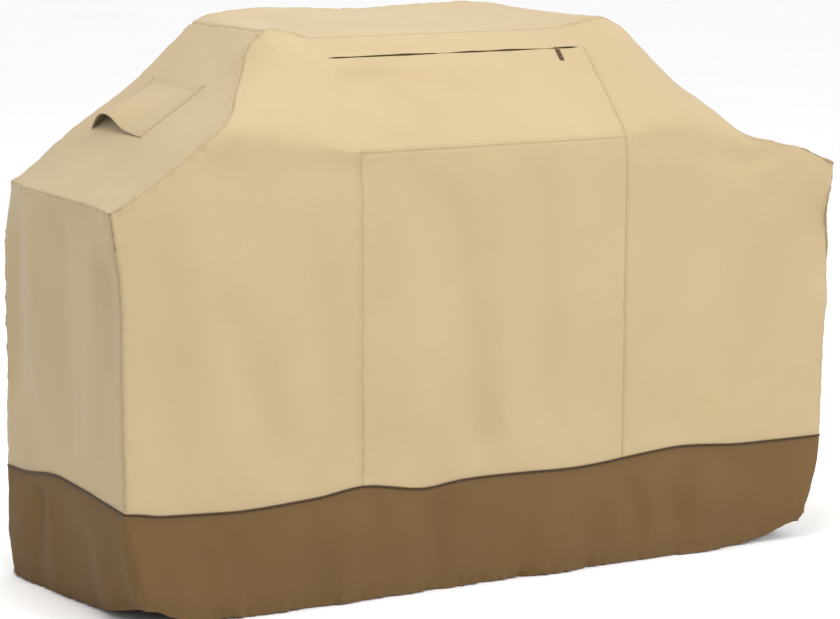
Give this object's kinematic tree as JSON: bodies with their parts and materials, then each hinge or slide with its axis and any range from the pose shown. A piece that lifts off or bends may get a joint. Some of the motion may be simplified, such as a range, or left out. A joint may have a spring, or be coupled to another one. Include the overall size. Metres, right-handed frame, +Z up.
{
  "type": "grill cover",
  "caption": "Fitted fabric cover for a wide cart grill: sloped shoulders, hooded end vents, zipped hood slot, piped contrast skirt and gathered elastic hem.",
  "frame": {"origin": "centre of the footprint, on the surface the hem rests on", "axes": "+X along the length, +Z up, the zipped front faces -Y"},
  "size_m": [1.7782, 0.6462, 1.234],
  "materials": {
    "cloth_pale": "woven polyester, matt, pale tan",
    "cloth_dark": "woven polyester, matt, brown",
    "piping": "cloth-covered cord, dark brown",
    "vent_mesh": "open knitted mesh",
    "lining": "coated back of the pale cloth",
    "zip_tape": "woven tape",
    "zip_metal": "dark painted metal and nylon coil",
    "pull_tab": "soft brown tab",
    "elastic": "braided elastic cord",
    "webbing": "woven polypropylene webbing",
    "buckle_plastic": "moulded acetal, black",
    "steel": "plated steel"
  },
  "bodies": {
    "cover": {"front_centre_panel": "cloth_pale", "front_left_panel": "cloth_pale", "front_right_panel": "cloth_pale", "back_left_panel": "cloth_pale", "back_centre_panel": "cloth_pale", "back_right_panel": "cloth_pale", "shoulder_left_panel": "cloth_pale", "shoulder_right_panel": "cloth_pale", "end_left_panel": "cloth_pale", "end_right_panel": "cloth_pale", "top_panel": "cloth_pale", "hood_front_panel": "cloth_pale", "vent_hood_left": "cloth_pale", "vent_hood_right": "cloth_pale", "skirt_front_panel": "cloth_dark", "skirt_back_panel": "cloth_dark", "skirt_left_panel": "cloth_dark", "skirt_right_panel": "cloth_dark", "hem_casing_front": "cloth_dark", "hem_casing_back": "cloth_dark", "hem_casing_left": "cloth_dark", "hem_casing_right": "cloth_dark", "skirt_piping": "piping", "vent_mesh_left": "vent_mesh", "vent_mesh_right": "vent_mesh", "hood_upper_band": "lining", "pocket_bag": "lining", "zip_tape_lower": "zip_tape", "zip_tape_upper": "zip_tape", "zip_coil_lower": "zip_metal", "zip_coil_upper": "zip_metal", "zip_stop_left": "zip_metal", "zip_stop_right": "zip_metal", "hem_elastic": "elastic", "drawcord_inner": "elastic", "drawcord_outer": "elastic", "drawcord_tab": "webbing", "strap_anchor_socket_left": "webbing", "strap_anchor_socket_right": "webbing", "strap_anchor_plug_left": "webbing", "strap_anchor_plug_right": "webbing", "eyelet_inner": "steel", "eyelet_outer": "steel"},
    "zip_slider": {"zip_slider": "zip_metal"},
    "zip_pull": {"zip_pull_link": "zip_metal", "zip_pull_tab": "pull_tab"},
    "zip_flap": {"zip_flap": "cloth_pale"},
    "cord_lock": {"cord_lock_body": "buckle_plastic", "cord_lock_spring": "steel"},
    "cord_lock_button": {"cord_lock_plunger": "buckle_plastic"},
    "socket_strap_left": {"strap_socket_left": "webbing", "buckle_socket_left": "buckle_plastic"},
    "socket_strap_right": {"strap_socket_right": "webbing", "buckle_socket_right": "buckle_plastic"},
    "plug_strap_left": {"strap_plug_left": "webbing", "buckle_plug_left": "buckle_plastic"},
    "plug_strap_right": {"strap_plug_right": "webbing", "buckle_plug_right": "buckle_plastic"}
  },
  "joints": [
    {"name": "zip_slide", "type": "slide", "parent": "cover", "child": "zip_slider", "axis": [-1, 0, 0], "range_m": [0, 0.56]},
    {"name": "zip_pull_swing", "type": "hinge", "parent": "zip_slider", "child": "zip_pull", "pos_m": [0.26, -0.13886, 1.1531], "axis": [-1, 0, 0], "range_deg": [0, 165]},
    {"name": "zip_flap_lift", "type": "hinge", "parent": "cover", "child": "zip_flap", "pos_m": [0, -0.075, 1.19], "axis": [-1, 0, 0], "range_deg": [0, 110]},
    {"name": "cord_lock_slide", "type": "slide", "parent": "cover", "child": "cord_lock", "axis": [1, 0, 0], "range_m": [-0.03, 0.05]},
    {"name": "cord_lock_press", "type": "slide", "parent": "cord_lock", "child": "cord_lock_button", "axis": [0, 0, -1], "range_m": [0, 0.0026], "stiffness_N_per_m": 600, "springref_m": -0.003, "deforming": ["cord_lock_spring"]},
    {"name": "socket_strap_left_swing", "type": "hinge", "parent": "cover", "child": "socket_strap_left", "pos_m": [-0.86969, -0.09, 0.2], "axis": [0, -1, 0], "range_deg": [0, 80]},
    {"name": "plug_strap_left_swing", "type": "hinge", "parent": "cover", "child": "plug_strap_left", "pos_m": [-0.86969, 0.09, 0.2], "axis": [0, -1, 0], "range_deg": [0, 80]},
    {"name": "socket_strap_right_swing", "type": "hinge", "parent": "cover", "child": "socket_strap_right", "pos_m": [0.86969, -0.09, 0.2], "axis": [0, 1, 0], "range_deg": [0, 80]},
    {"name": "plug_strap_right_swing", "type": "hinge", "parent": "cover", "child": "plug_strap_right", "pos_m": [0.86969, 0.09, 0.2], "axis": [0, 1, 0], "range_deg": [0, 80]}
  ]
}
